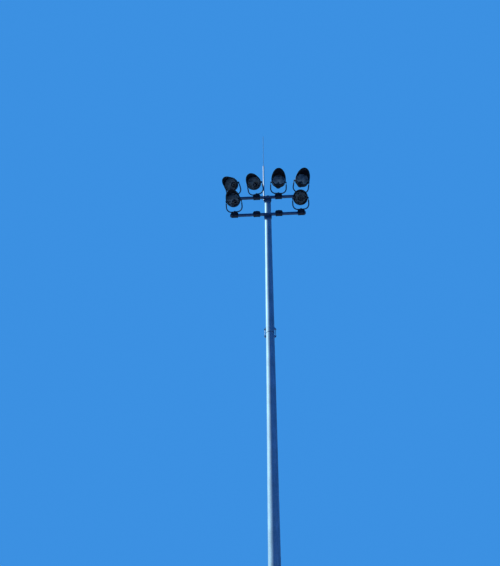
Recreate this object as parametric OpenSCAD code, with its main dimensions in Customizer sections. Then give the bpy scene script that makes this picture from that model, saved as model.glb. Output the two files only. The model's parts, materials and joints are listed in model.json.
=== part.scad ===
// High mast floodlight tower: a tapered steel mast in two lengths with a slip joint,
// two crossarms in front of its head, and six floodlights that pan and tilt.
// Millimetres. The origin is the centre of the base flange's underside, +Z is up,
// the crossarms run along X and the floodlights face -Y.

/* [Mast] */
// Outside diameter of the mast where it meets the ground line
base_diameter = 448; // [400:4:520]
// Loss of outside diameter for each metre of height
taper_per_metre = 10; // [6:0.5:11]
// Height of the top of the upper length
mast_top = 21250; // [20900:50:21600]
// Height of the lower edge of the upper length
splice_bottom = 14650; // [13500:50:15500]
// Length over which the two lengths overlap
splice_overlap = 500; // [400:50:700]
// Wall of the lower length
lower_wall = 6; // [5:0.5:10]
// Wall of the upper length
upper_wall = 5; // [4:0.5:8]

/* [Base] */
// Diameter of the round base flange
flange_diameter = 720; // [680:10:800]
// Thickness of the base flange
flange_thickness = 50; // [30:5:60]
// Diameter of the circle that the anchor holes lie on
anchor_circle = 610; // [580:10:640]
// Number of anchor holes
anchor_count = 8; // [4:1:12]
// Diameter of each anchor hole
anchor_hole = 42; // [30:1:50]
// Diameter of the cable hole in the middle of the flange
cable_hole = 300; // [150:10:360]
// Height of the middle of the handhole
handhole_height = 1000; // [700:50:1500]

/* [Crossarms] */
// Height of the upper crossarm's axis
upper_arm_height = 21070; // [20900:10:21100]
// Height of the lower crossarm's axis
lower_arm_height = 20150; // [19900:10:20300]
// Length of each crossarm
arm_length = 3050; // [3000:10:3400]
// Side of the crossarms' square tube
arm_size = 90; // [80:2:100]
// Wall of the crossarms' square tube
arm_wall = 5; // [3:0.5:8]
// Distance from the mast's axis forward to the crossarms' axes
arm_forward = 200; // [195:5:240]
// Distance between neighbouring floodlight positions
lamp_pitch = 900; // [860:10:960]

/* [Floodlights] */
// Outside diameter of the front ring
ring_diameter = 600; // [560:4:620]
// Height of the tilt axis above the crossarm's axis
tilt_height = 565; // [540:5:600]
// Distance from the pan axis forward to the tilt axis
tilt_forward = 270; // [220:5:290]
// Distance from the tilt axis forward to the lens
lens_forward = 150; // [130:5:170]
// Depth of the reflector bowl behind the lens
bowl_depth = 330; // [300:5:340]
// Reach of the visor in front of the ring
visor_reach = 370; // [250:10:400]
// Distance between the middles of the yoke's legs
yoke_spread = 644; // [640:2:670]
// Pan of the four upper floodlights from left to right, towards +X
upper_pan = [-24, -15, 4, 16]; // [-24:1:24]
// Dip of the four upper floodlights from left to right, below level
upper_dip = [36, 28, 0, 5]; // [0:1:50]
// Pan of the two lower floodlights from left to right, towards +X
lower_pan = [-5, -2]; // [-24:1:24]
// Dip of the two lower floodlights from left to right, below level
lower_dip = [22, 38]; // [0:1:50]
// Travel of the pan slots to each side of straight ahead
pan_limit = 24; // [15:1:24]
// Lowest and highest dip that the tilt slots allow
dip_limits = [-10, 65]; // [-10:1:65]

/* [Lightning mast] */
// Height of the top of the tube
air_tube_top = 23100; // [22800:50:23400]
// Height of the tip of the rod
air_rod_top = 24940; // [24400:20:25200]
// Outside diameter of the tube
air_tube_diameter = 56; // [50:1:60]
// Diameter of the rod
air_rod_diameter = 16; // [12:1:20]

/* [Hidden] */

$fn = 96;
// Gap between faces that lie on each other across a fit or a joint
fit_gap = 0.3;

steel = "#8d99a3";
dark_steel = "#4b545c";
dark_paint = "#23272b";
bright_steel = "#e6e9eb";
glass_blue = "#9fb8c8";

// Outside radius of the lower and of the upper length at a height
function lower_r(z) = (base_diameter - taper_per_metre * z / 1000) / 2;
function upper_r(z) = lower_r(z) + fit_gap + upper_wall;
lower_top = splice_bottom + splice_overlap;

arm_half = arm_size / 2;
arm_back = arm_forward - arm_half;
bracket_plate = 12;
bracket_half = 155;
bracket_top = 60;
bracket_bottom = -160;
bracket_web = 10;

// Mounting block: a cast saddle over the crossarm with a round seat on top
block_half = 150;
block_depth = 150;
block_top = 132;
seat_height = 140;
seat_r = 80;
clamp_plate = 12;
clamp_bolt_x = 112;
clamp_bolt_y = 60;
clamp_bolt_r = 8;
pan_stud_r = 6;
pan_stud_at = 56;
king_bore_r = 13;
king_bore_depth = 70;
king_pin_r = 12.6;
king_pin_length = 60;

// Yoke: a pipe bent to a U that leans forward out of its foot and ends in two ears
yoke_pipe_r = 24;
yoke_pipe_wall = 3;
yoke_corner_r = 200;
foot_disc_r = 75;
foot_disc = 14;
foot_half = 34;
foot_top = 88;
pipe_seat = 58;
tilt_rise = tilt_height - seat_height;
yoke_lean = atan2(tilt_forward, tilt_rise - pipe_seat);
yoke_length = norm([tilt_forward, tilt_rise - pipe_seat]);
leg_x = yoke_spread / 2;
ear_half = 6;
ear_r = 32;
ear_root_r = 27;
ear_length = 125;
trunnion_r = 9.7;
eye_bore_r = 10;

// Tilt slot: a quadrant on the floodlight beside each ear, with the ear's lock bolt in it
quadrant = 6;
quadrant_r = 76;
boss_face = leg_x - ear_half - 0.5;
quadrant_face = boss_face - 1;
lock_at = 62;
lock_bolt_r = 5;

// Floodlight head, on its own aim axis, from the lens backwards
ring_r = ring_diameter / 2;
ring_back = 30;
ring_front = 18;
bowl_mouth_r = ring_r - 24;
bowl_axis = 366;
bowl_wall = 3;
throat_r = bowl_mouth_r * sqrt(1 - pow(bowl_depth / bowl_axis, 2));
band_r = 272;
band_half = 25;
boss_r = 30;
housing_length = 125;
housing_r = 92;
fin_count = 12;

// Number 1 to 4 are on the upper crossarm, 5 and 6 at the ends of the lower one
function lamp_x(n) = n < 5 ? (n - 2.5) * lamp_pitch : (n == 5 ? -1.5 : 1.5) * lamp_pitch;
function lamp_arm(n) = n < 5 ? upper_arm_height : lower_arm_height;
function pan(n) = n < 5 ? upper_pan[n - 1] : lower_pan[n - 5];
function dip(n) = n < 5 ? upper_dip[n - 1] : lower_dip[n - 5];

// Inside radius of the bowl at a distance behind the lens
function bowl_r(s) = bowl_mouth_r * sqrt(1 - pow(s / bowl_axis, 2));

module base_flange() color(steel)
    difference() {
        cylinder(d = flange_diameter, h = flange_thickness);
        translate([0, 0, -1]) cylinder(d = cable_hole, h = flange_thickness + 2);
        for (i = [0 : anchor_count - 1])
            rotate([0, 0, (i + 0.5) * 360 / anchor_count]) translate([anchor_circle / 2, 0, -1])
                cylinder(d = anchor_hole, h = flange_thickness + 2);
    }

// A straight length of tapered tube between two heights
module tapered_tube(bottom, top, r_bottom, r_top, wall)
    rotate_extrude()
        polygon([[r_bottom - wall, bottom], [r_bottom, bottom], [r_top, top], [r_top - wall, top]]);

// An upright slot outline, pushed out through the front of the mast
module front_slot(half_width, half_straight, near, far)
    translate([0, -near, handhole_height]) rotate([90, 0, 0])
        linear_extrude(height = far - near) {
            square([2 * half_width, 2 * half_straight], center = true);
            for (side = [-1, 1]) translate([0, side * half_straight]) circle(half_width);
        }

handhole_face = lower_r(handhole_height) + 12;
handhole_half = 60;
handhole_straight = 90;
frame_wall = 12;

module lower_shaft() color(steel)
    difference() {
        tapered_tube(flange_thickness, lower_top, lower_r(flange_thickness), lower_r(lower_top), lower_wall);
        front_slot(handhole_half + frame_wall + fit_gap, handhole_straight, 100, 400);
    }

module upper_shaft() color(steel)
    tapered_tube(splice_bottom, mast_top, upper_r(splice_bottom), upper_r(mast_top), upper_wall);

cap_skirt = 40;
cap_rise = 28;
module shaft_cap() color(steel) {
    inner = upper_r(mast_top - cap_skirt) + fit_gap;
    outer = inner + 4;
    rotate_extrude() {
        polygon([[inner, mast_top - cap_skirt], [outer, mast_top - cap_skirt], [outer, mast_top + 5],
                 [outer * 0.72, mast_top + 5 + cap_rise * 0.62], [outer * 0.38, mast_top + 5 + cap_rise * 0.93],
                 [0, mast_top + 5 + cap_rise], [0, mast_top + fit_gap], [inner, mast_top + fit_gap]]);
    }
}

// Lugs on both sides of the slip joint, which long bolts draw together
lug_reach = 66;
lug_thickness = 22;
lug_half = 32;
jack_r = 11;
lower_lug_z = splice_bottom - 120;
upper_lug_z = splice_bottom + 150;
jack_x = upper_r(upper_lug_z) + 38;
module lug(z, r, up)
    difference() {
        union() {
            translate([r - 8, -lug_half, z]) cube([lug_reach + 8, 2 * lug_half, lug_thickness]);
            for (side = [-1, 1])
                translate([r - 8, side * (lug_half - 4) + 4, z + (up ? lug_thickness : 0)]) rotate([90, 0, 0])
                    linear_extrude(height = 8)
                        polygon([[0, 0], [lug_reach, 0], [8, up ? 70 : -70], [0, up ? 70 : -70]]);
        }
        translate([0, 0, z - 200]) cylinder(r = r + 1, h = 400);
        translate([jack_x, 0, z - 1]) cylinder(r = jack_r + 1.5, h = lug_thickness + 2);
    }

module joint_lugs() color(dark_steel)
    for (turn = [0, 180]) rotate([0, 0, turn]) {
        lug(lower_lug_z, lower_r(lower_lug_z - 70), false);
        lug(upper_lug_z, upper_r(upper_lug_z), true);
    }

module jacking_bolts() color(steel)
    for (turn = [0, 180]) rotate([0, 0, turn])
        translate([jack_x, 0, lower_lug_z - 50]) {
            cylinder(r = jack_r, h = upper_lug_z - lower_lug_z + lug_thickness + 90);
            translate([0, 0, 30]) cylinder(r = 20, h = 20, $fn = 6);
            translate([0, 0, 50 + upper_lug_z - lower_lug_z + lug_thickness]) cylinder(r = 20, h = 20, $fn = 6);
        }

module handhole_frame() color(steel)
    difference() {
        front_slot(handhole_half + frame_wall, handhole_straight, handhole_face - 40, handhole_face);
        front_slot(handhole_half, handhole_straight, handhole_face - 60, handhole_face + 20);
    }

module handhole_cover() color(steel)
    front_slot(handhole_half + frame_wall + 6, handhole_straight, handhole_face, handhole_face + 5);

module crossarm(z) color(steel)
    translate([0, -arm_forward, z]) difference() {
        cube([arm_length, arm_size, arm_size], center = true);
        cube([arm_length + 2, arm_size - 2 * arm_wall, arm_size - 2 * arm_wall], center = true);
    }

cap_plate = 6;
module crossarm_end_caps() color(steel)
    for (z = [upper_arm_height, lower_arm_height], side = [-1, 1])
        translate([side * (arm_length + cap_plate) / 2, -arm_forward, z])
            cube([cap_plate, arm_size, arm_size], center = true);

// A plate behind the crossarm, held off the mast by two webs that fit round it
module arm_bracket(z) color(dark_steel)
    translate([0, 0, z]) {
        translate([-bracket_half, -arm_back, bracket_bottom])
            cube([2 * bracket_half, bracket_plate, bracket_top - bracket_bottom]);
        for (level = [bracket_bottom + 20, bracket_top - 20])
            translate([0, 0, level]) difference() {
                translate([0, 0, -bracket_web / 2]) linear_extrude(height = bracket_web)
                    polygon([[-bracket_half + 8, bracket_plate - arm_back - 1], [bracket_half - 8, bracket_plate - arm_back - 1],
                             [bracket_half - 16, -45], [-bracket_half + 16, -45]]);
                translate([0, 0, -bracket_web]) cylinder(r = upper_r(z + level - 10) + fit_gap, h = 2 * bracket_web);
            }
    }

// Cast saddle with a pocket in each quarter, its king bore and two threaded holes
module saddle()
    difference() {
        union() {
            translate([0, block_depth / 2, 0]) rotate([90, 0, 0]) linear_extrude(height = block_depth)
                polygon([[-block_half, 0], [block_half, 0], [block_half, 66], [block_half - 46, block_top],
                         [46 - block_half, block_top], [-block_half, 66]]);
            cylinder(r = seat_r, h = seat_height);
        }
        translate([-block_half - 1, -arm_half, -1]) cube([2 * block_half + 2, arm_size, arm_half + 1]);
        translate([0, 0, seat_height - king_bore_depth]) cylinder(r = king_bore_r, h = king_bore_depth + 1);
        for (side = [-1, 1]) translate([side * pan_stud_at, 0, seat_height - 30])
            cylinder(r = pan_stud_r - 0.9, h = 31);
        for (end = [0, 1], face = [0, 1]) mirror([end, 0, 0]) mirror([0, face, 0])
            translate([0, block_depth / 2 + 1, 0]) rotate([90, 0, 0])
                linear_extrude(height = block_depth / 2 + 1 - arm_half)
                    polygon([[88, 14], [134, 14], [134, 61], [96, 116], [88, 116]]);
    }

// Plate under the crossarm and the four bolts that draw it against the saddle
module saddle_clamp() {
    translate([-block_half + 15, -block_depth / 2, -arm_half - clamp_plate])
        cube([2 * block_half - 30, block_depth, clamp_plate]);
    for (i = [-1, 1], j = [-1, 1]) translate([i * clamp_bolt_x, j * clamp_bolt_y, 0]) {
        translate([0, 0, -arm_half - 1]) cylinder(r = clamp_bolt_r, h = arm_half + 2);
        translate([0, 0, -arm_half - clamp_plate - 10]) cylinder(r = 14, h = 11, $fn = 6);
    }
}

// Studs that run in the yoke's pan slots, with their nuts just above its foot
module pan_studs()
    for (side = [-1, 1]) translate([side * pan_stud_at, 0, seat_height]) {
        translate([0, 0, -31]) cylinder(r = pan_stud_r, h = 59);
        translate([0, 0, foot_disc + 0.6]) cylinder(r = 11, h = 2);
        translate([0, 0, foot_disc + 2.6]) cylinder(r = 10.4, h = 8, $fn = 6);
    }

module mounting_blocks(z, used) color(dark_steel)
    for (i = [0 : 3]) translate([(i - 1.5) * lamp_pitch, -arm_forward, z]) {
        saddle();
        saddle_clamp();
        if (used[i]) pan_studs();
    }

air_x = upper_r(mast_top) + 6 + air_tube_diameter / 2;
air_foot = upper_arm_height + 20;
module lightning_tube() color(bright_steel)
    translate([-air_x, 0, 0]) rotate_extrude()
        polygon([[air_tube_diameter / 2 - 3, air_foot], [air_tube_diameter / 2, air_foot],
                 [air_tube_diameter / 2, air_tube_top - 40], [air_rod_diameter / 2 + 4, air_tube_top],
                 [air_rod_diameter / 2 + fit_gap, air_tube_top], [air_rod_diameter / 2 + fit_gap, air_tube_top - 44],
                 [air_tube_diameter / 2 - 3, air_tube_top - 44]]);

module lightning_clamps() color(dark_steel)
    for (z = [air_foot + 12, air_foot + 80])
        difference() {
            translate([-air_x, 0, z]) {
                cylinder(r = air_tube_diameter / 2 + 6, h = 30);
                translate([0, -24, 0]) cube([60, 48, 30]);
            }
            translate([-air_x, 0, z - 1]) cylinder(r = air_tube_diameter / 2 + fit_gap, h = 32);
            translate([0, 0, z - 1]) cylinder(r = upper_r(z) + fit_gap, h = 32);
        }

module lightning_rod() color(dark_steel)
    translate([-air_x, 0, 0]) rotate_extrude()
        polygon([[0, air_tube_top - 200], [air_rod_diameter / 2, air_tube_top - 200],
                 [air_rod_diameter / 2, air_rod_top - 60], [1, air_rod_top], [0, air_rod_top]]);

// Stands its children on the seat of a floodlight, turned to its pan
module on_seat(n)
    translate([lamp_x(n), -arm_forward, lamp_arm(n) + seat_height]) rotate([0, 0, pan(n)]) children();

// Puts its children on a floodlight's tilt axis, with +Z along the aim and +Y upwards
module on_trunnion(n)
    on_seat(n) translate([0, -tilt_forward, tilt_rise]) rotate([90 + dip(n), 0, 0]) children();

// The U of the yoke in its own plane, as bars of one radius up to a height
module yoke_bars(r, top) {
    straight = leg_x - yoke_corner_r;
    translate([-straight, 0, 0]) rotate([0, 90, 0]) cylinder(r = r, h = 2 * straight);
    for (side = [0, 1]) mirror([side, 0, 0]) {
        translate([straight, 0, yoke_corner_r]) rotate([90, 0, 0]) rotate([0, 0, -90])
            rotate_extrude(angle = 90) translate([yoke_corner_r, 0]) circle(r = r);
        translate([leg_x, 0, yoke_corner_r]) cylinder(r = r, h = top - yoke_corner_r);
    }
}

// A ring sector about +Z between two angles, ended by drilled holes of radius tip where it is a slot
module sector(near, far, from, to, height, tip = 0) {
    rotate([0, 0, from]) rotate_extrude(angle = to - from) translate([near, 0]) square([far - near, height]);
    if (tip > 0) for (end = [from, to]) rotate([0, 0, end]) translate([(near + far) / 2, 0, 0])
        cylinder(r = tip, h = height);
}

// Foot disc with its king pin, and a slot each side that lets it turn round the fixed studs
module yoke_foot() {
    slot_half = pan_stud_r + 0.6;
    translate([0, 0, -king_pin_length]) cylinder(r = king_pin_r, h = king_pin_length + 5);
    difference() {
        translate([0, 0, fit_gap]) cylinder(r = foot_disc_r, h = foot_disc);
        for (turn = [0, 180]) translate([0, 0, -1])
            sector(pan_stud_at - slot_half, pan_stud_at + slot_half, turn - pan_limit - 1, turn + pan_limit + 1,
                   foot_disc + 3, slot_half + 0.4);
    }
}

// Ear at the end of a leg, with the trunnion's eye at its top and the lock bolt below it
module yoke_ear() {
    narrowing = (ear_r - ear_root_r) / ear_length;
    across = sqrt(1 - narrowing * narrowing);
    difference() {
        rotate([90, 0, 90]) linear_extrude(height = 2 * ear_half, center = true) {
            circle(ear_r);
            translate([0, -ear_length]) circle(ear_root_r);
            polygon([[ear_r * across, -ear_r * narrowing], [ear_root_r * across, -ear_length - ear_root_r * narrowing],
                     [-ear_root_r * across, -ear_length - ear_root_r * narrowing], [-ear_r * across, -ear_r * narrowing]]);
        }
        rotate([0, 90, 0]) cylinder(r = eye_bore_r, h = 2 * ear_half + 2, center = true);
    }
}

// Bolt through the ear and the quadrant's slot; +X points out of the yoke
module lock_bolt() {
    inner = ear_half + 1.5 + quadrant + 0.5;
    translate([-inner - 12, 0, -lock_at]) rotate([0, 90, 0]) cylinder(r = lock_bolt_r, h = inner + 12 + ear_half + 4);
    translate([-inner - 8, 0, -lock_at]) rotate([0, 90, 0]) cylinder(r = 9, h = 8, $fn = 6);
    translate([ear_half - 0.5, 0, -lock_at]) rotate([0, 90, 0]) cylinder(r = 9, h = 7.5, $fn = 6);
}

module yoke(n) color(dark_steel)
    on_seat(n) {
        yoke_foot();
        difference() {
            union() {
                translate([-foot_half, 0, 0]) rotate([90, 0, 90]) linear_extrude(height = 2 * foot_half)
                    polygon([[-42, foot_disc - 1], [42, foot_disc - 1], [26, foot_top], [-34, foot_top]]);
                translate([0, 0, pipe_seat]) rotate([yoke_lean, 0, 0]) yoke_bars(yoke_pipe_r, yoke_length - 100);
            }
            translate([0, 0, pipe_seat]) rotate([yoke_lean, 0, 0])
                yoke_bars(yoke_pipe_r - yoke_pipe_wall, yoke_length - 90);
        }
        translate([0, 0, pipe_seat]) rotate([yoke_lean, 0, 0])
            for (side = [0, 1]) mirror([side, 0, 0]) translate([leg_x, 0, yoke_length]) {
                yoke_ear();
                lock_bolt();
            }
    }

// Plate round a trunnion, with the arc slot that the yoke's lock bolt runs in. Seen along the
// trunnion, the bolt lies at -90 degrees plus the yoke's lean less the dip.
module tilt_quadrant() {
    first = -90 + yoke_lean - dip_limits[1] - 1;
    last = -90 + yoke_lean - dip_limits[0] + 1;
    slot_half = lock_bolt_r + 0.6;
    difference() {
        sector(boss_r - 6, quadrant_r, first - 14, last + 14, quadrant);
        translate([0, 0, -1]) sector(lock_at - slot_half, lock_at + slot_half, first, last, quadrant + 2, slot_half + 0.4);
    }
}

// Spun bowl with its rim flange, and the band that carries the trunnions
module reflector(n) color(dark_paint)
    on_trunnion(n) {
        translate([0, 0, lens_forward]) rotate_extrude()
            polygon(concat(
                [for (i = [0 : 12]) let (s = 4 + (bowl_depth - 4) * i / 12) [bowl_r(s), -s]],
                [for (i = [12 : -1 : 0]) let (s = 4 + (bowl_depth - 4) * i / 12) [bowl_r(s) + bowl_wall, -s]],
                [[ring_r - 15, -4], [ring_r - 15, 0], [bowl_mouth_r - 6, 0], [bowl_mouth_r - 6, -4]]));
        rotate_extrude()
            polygon([[bowl_r(lens_forward + band_half) + 1.5, -band_half], [band_r, -band_half], [band_r, band_half],
                     [bowl_r(lens_forward - band_half) + 1.5, band_half]]);
        for (side = [0, 1]) mirror([side, 0, 0]) rotate([0, 90, 0]) {
            translate([0, 0, band_r - 8]) cylinder(r = boss_r, h = boss_face - band_r + 8);
            translate([0, 0, quadrant_face - quadrant]) tilt_quadrant();
            translate([0, 0, band_r]) cylinder(r = trunnion_r, h = leg_x + ear_half + 15 - band_r);
            translate([0, 0, leg_x + ear_half + 0.5]) cylinder(r = 17, h = 11, $fn = 6);
        }
    }

// Finned casting behind the throat, which holds the lamp's socket
module lamp_housing(n) color(dark_paint)
    on_trunnion(n) translate([0, 0, lens_forward - bowl_depth - fit_gap]) {
        difference() {
            rotate_extrude()
                polygon([[0, -housing_length], [0, 0], [throat_r + 14, 0], [throat_r + 14, -10], [housing_r, -18],
                         [housing_r, -housing_length + 22], [housing_r - 22, -housing_length]]);
            translate([0, 0, -housing_length + 14]) cylinder(r = housing_r - 16, h = housing_length);
        }
        for (i = [0 : fin_count - 1]) rotate([0, 0, (i + 0.5) * 360 / fin_count])
            translate([housing_r - 4, 3, 0]) rotate([90, 0, 0]) linear_extrude(height = 6)
                polygon([[0, -12], [throat_r - housing_r + 10, -12], [26, -housing_length + 34], [0, -housing_length + 26]]);
    }

module lens(n) color(glass_blue, 0.4)
    on_trunnion(n) translate([0, 0, lens_forward + fit_gap]) rotate_extrude()
        polygon(concat([[0, 0], [ring_r - 16, 0], [ring_r - 16, 5]],
                       [for (i = [0 : 8]) let (r = (ring_r - 34) * (1 - i / 8)) [r, 5 + 12 * (1 - pow(r / (ring_r - 34), 2))]]));

// Front ring that clamps the lens, with the visor cut from a tube by a sloping plane
module visor(n) color(dark_paint)
    on_trunnion(n) translate([0, 0, lens_forward]) {
        rotate_extrude()
            polygon([[ring_r - 14, -ring_back], [ring_r, -ring_back], [ring_r, ring_front], [ring_r - 34, ring_front],
                     [ring_r - 34, ring_front - 5], [ring_r - 14, ring_front - 9]]);
        intersection() {
            difference() {
                translate([0, 0, ring_front - 4]) cylinder(r = ring_r, h = visor_reach + 10);
                translate([0, 0, ring_front - 5]) cylinder(r = ring_r - 3, h = visor_reach + 20);
            }
            translate([-ring_r - 10, 0, ring_front]) rotate([90, 0, 90]) linear_extrude(height = 2 * ring_r + 20)
                polygon([[26, -4], [ring_r + 20, -4], [ring_r + 20, visor_reach * (ring_r - 6) / (ring_r - 26)], [26, 0]]);
        }
    }

module arc_lamp(n) color(bright_steel)
    on_trunnion(n) translate([0, 0, lens_forward - bowl_depth]) rotate_extrude()
        polygon([[0, -90], [24, -90], [24, -30], [30, -20], [34, 20], [46, 80], [46, 130], [34, 180], [18, 200], [0, 205]]);

base_flange();
lower_shaft();
upper_shaft();
shaft_cap();
joint_lugs();
jacking_bolts();
handhole_frame();
handhole_cover();
crossarm(upper_arm_height);  // upper_crossarm
crossarm(lower_arm_height);  // lower_crossarm
crossarm_end_caps();
arm_bracket(upper_arm_height);  // upper_arm_bracket
arm_bracket(lower_arm_height);  // lower_arm_bracket
mounting_blocks(upper_arm_height, [true, true, true, true]);  // upper_mounting_blocks
mounting_blocks(lower_arm_height, [true, false, false, true]);  // lower_mounting_blocks
lightning_tube();
lightning_clamps();
lightning_rod();
for (n = [1 : 6]) {
    yoke(n);
    reflector(n);
    lamp_housing(n);
    lens(n);
    visor(n);
    arc_lamp(n);
}
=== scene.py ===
"""Finishes and small parts of a high mast floodlight tower, round its packed construction model."""

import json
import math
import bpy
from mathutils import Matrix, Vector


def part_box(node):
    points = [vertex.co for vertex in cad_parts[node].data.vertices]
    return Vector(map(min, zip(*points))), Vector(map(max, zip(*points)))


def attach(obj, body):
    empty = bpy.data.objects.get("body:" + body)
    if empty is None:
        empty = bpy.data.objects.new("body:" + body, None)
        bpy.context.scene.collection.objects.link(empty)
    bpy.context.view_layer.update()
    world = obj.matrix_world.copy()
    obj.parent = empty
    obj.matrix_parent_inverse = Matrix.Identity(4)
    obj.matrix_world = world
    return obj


bl_info = {
    "name": "High Mast Floodlight Tower",
    "version": (1, 0, 0),
    "blender": (4, 5, 0),
    "location": "3D View > Sidebar > Tower",
    "description": "Adds finishes, reflectors, fixings and a studio to a floodlight tower",
    "category": "Object",
}

import bmesh
import bpy
from bpy.props import FloatProperty, FloatVectorProperty, IntProperty, PointerProperty
from bpy.types import NodeSocket, Operator, Panel, PropertyGroup
from mathutils import Matrix, Vector

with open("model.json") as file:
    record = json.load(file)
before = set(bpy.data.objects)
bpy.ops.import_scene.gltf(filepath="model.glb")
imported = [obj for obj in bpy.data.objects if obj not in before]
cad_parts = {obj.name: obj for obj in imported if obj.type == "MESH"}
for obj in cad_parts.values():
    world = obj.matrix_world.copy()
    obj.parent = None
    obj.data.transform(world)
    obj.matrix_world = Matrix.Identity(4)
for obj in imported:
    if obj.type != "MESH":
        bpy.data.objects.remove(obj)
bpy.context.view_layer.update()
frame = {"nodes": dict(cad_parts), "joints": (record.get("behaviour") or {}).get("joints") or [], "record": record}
LAMPS = range(1, 7)
JOINTS = {joint["name"]: joint for joint in frame["joints"]}

# Sizes of the construction model that the small parts are fitted to, in metres

LENS_AT = 0.150
RING_RADIUS = 0.300
RING_FRONT = 0.168
BOWL_MOUTH = 0.276
BOWL_AXIS = 0.366
VISOR_REACH = 0.370
HOUSING_BACK = -0.3053
QUADRANT_FACE = 0.3145
LEG = 0.322
EAR_HALF = 0.006
PIPE_RADIUS = 0.024
PIPE_WALL = 0.003
SEAT_TO_PIPE = 0.058
ARM_FORWARD = 0.2
ARM_HEIGHTS = (21.07, 20.15)
ARM_HALF = 0.045
SPLICE = 14.65
MAST_TOP = 21.25
LAMP_PITCH = 0.9
ARM_END = 1.5255
HANDHOLE_AT = 1.0
VISOR_CUT = 0.026
VISOR_RISE = 0.274
PETAL_FRONT = 0.009
PETAL_DEPTH = 0.317
TUBE_CLAMPS_AT = (21.117, 21.185)
ROD_SCREWS_AT = 23.03
EARTH_BOSS_AT = 0.42

# Tints of the lamps and of the light that the floor returns, and the turn of a weld's ripple in radians

KEY_TINT = (0.85, 1.0, 1.0)
FILL_TINT = (0.03, 0.4, 1.0)
FLOOR_RETURN = (0.0, 0.02, 0.12, 1.0)
RIPPLE_TURN = 2.2


def lower_radius(z):
    """Outside radius of the lower length at a height."""
    return (0.448 - 0.010 * z) / 2


def upper_radius(z):
    """Outside radius of the upper length at a height."""
    return lower_radius(z) + 0.0053


def bowl_radius(depth):
    """Inside radius of a reflector bowl at a distance behind the lens."""
    return BOWL_MOUTH * math.sqrt(1 - (depth / BOWL_AXIS) ** 2)


# Places worked out from the frame

def seat_place(n):
    """Yoke frame: origin on the pan axis at the seat, +Z up, -Y the way the floodlight faces."""
    pan, tilt = JOINTS[f"pan_{n}"], JOINTS[f"tilt_{n}"]
    side = Vector(tilt["axis"]).normalized()
    up = Vector(pan["axis"]).normalized()
    turn = Matrix((side, up.cross(side), up)).transposed()
    return Matrix.Translation(Vector(pan["pos_m"])) @ turn.to_4x4()


def leg_of(n):
    """Forward lean of a yoke's legs, and the distance along them from the foot's pipe to the tilt axis."""
    tilt = seat_place(n).inverted() @ Vector(JOINTS[f"tilt_{n}"]["pos_m"])
    rise = tilt.z - SEAT_TO_PIPE
    return math.atan2(-tilt.y, rise), math.hypot(tilt.y, rise)


def pipe_place(n):
    """Frame of the yoke's bent pipe: origin in the middle of its foot, +Z along its legs."""
    lean, _ = leg_of(n)
    return seat_place(n) @ Matrix.Translation((0, 0, SEAT_TO_PIPE)) @ Matrix.Rotation(lean, 4, "X")


def head_place(n):
    """Head frame: origin on the tilt axis, +X along it, +Z along the aim, +Y upwards."""
    tilt = JOINTS[f"tilt_{n}"]
    side = Vector(tilt["axis"]).normalized()
    centre = Vector(tilt["pos_m"])
    points = [vertex.co for vertex in frame["nodes"][f"lens_{n}"].data.vertices]
    middle = Vector([(min(p[i] for p in points) + max(p[i] for p in points)) / 2 for i in range(3)])
    aim = middle - centre
    aim = (aim - side * aim.dot(side)).normalized()
    turn = Matrix((side, aim.cross(side), aim)).transposed()
    return Matrix.Translation(centre) @ turn.to_4x4()


# Sizes and colours that a user may change

def colour(name, description, value):
    """A colour property with its description."""
    return FloatVectorProperty(name=name, description=description, subtype="COLOR", size=3,
                               min=0.0, max=1.0, default=value)


def length(name, description, value):
    """A length property in metres."""
    return FloatProperty(name=name, description=description, default=value, min=0.0, unit="LENGTH")


class TowerColours(PropertyGroup):
    """Colours of the finishes, as linear values."""

    # The mast zinc's blue tint is a painted blue sky reflection laid over grey zinc.
    galvanised: colour("Galvanised", "Zinc of the mast", (0.42, 0.61, 0.72))
    # The crossarms' colour is weathered zinc, darkened and blued further with painted shade.
    crossarm: colour("Crossarms", "Weathered zinc of the crossarms, darkened with painted shade", (0.11, 0.19, 0.30))
    casting: colour("Castings", "Paint of the mounting blocks", (0.020, 0.028, 0.042))
    yoke: colour("Yokes", "Paint of the yokes", (0.030, 0.050, 0.085))
    paint: colour("Floodlights", "Baked paint of the floodlights", (0.018, 0.022, 0.028))
    reflector: colour("Reflectors", "Anodised petals of the reflectors", (0.38, 0.49, 0.60))
    bright: colour("Bright tube", "Aluminium of the lightning tube", (0.86, 0.89, 0.91))
    hardware: colour("Hardware", "Zinc of bolts, nuts and screws", (0.22, 0.28, 0.36))
    backdrop: colour("Backdrop", "Plain backdrop behind the tower", (0.045, 0.28, 0.76))
    floor: colour("Floor", "Pale studio floor", (0.60, 0.66, 0.72))


class TowerHeads(PropertyGroup):
    """Sizes of the floodlights' small parts."""

    petals: IntProperty(name="Petals", description="Petals of a reflector", default=24, min=12, max=48)
    crown: length("Petal crown", "Height of a petal's ridge above its edges", 0.004)
    bead: length("Visor bead", "Thickness of the rolled edge of a visor", 0.008)
    rivets: IntProperty(name="Visor rivets", description="Rivets that hold a visor to its ring",
                        default=11, min=3, max=21)
    latches: IntProperty(name="Latches", description="Toggle latches round a front ring",
                         default=4, min=2, max=8)


class TowerSteel(PropertyGroup):
    """Sizes of the mast's and crossarms' small parts."""

    weld: length("Weld", "Width of the weld beads on the mast", 0.012)
    fine_weld: length("Fine weld", "Width of the weld beads on the yokes", 0.005)
    seam: length("Seam", "Width of the mast's long seam", 0.007)
    arm_bolt: length("Crossarm bolts", "Distance of the crossarm bolts from the mast's middle", 0.100)


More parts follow.
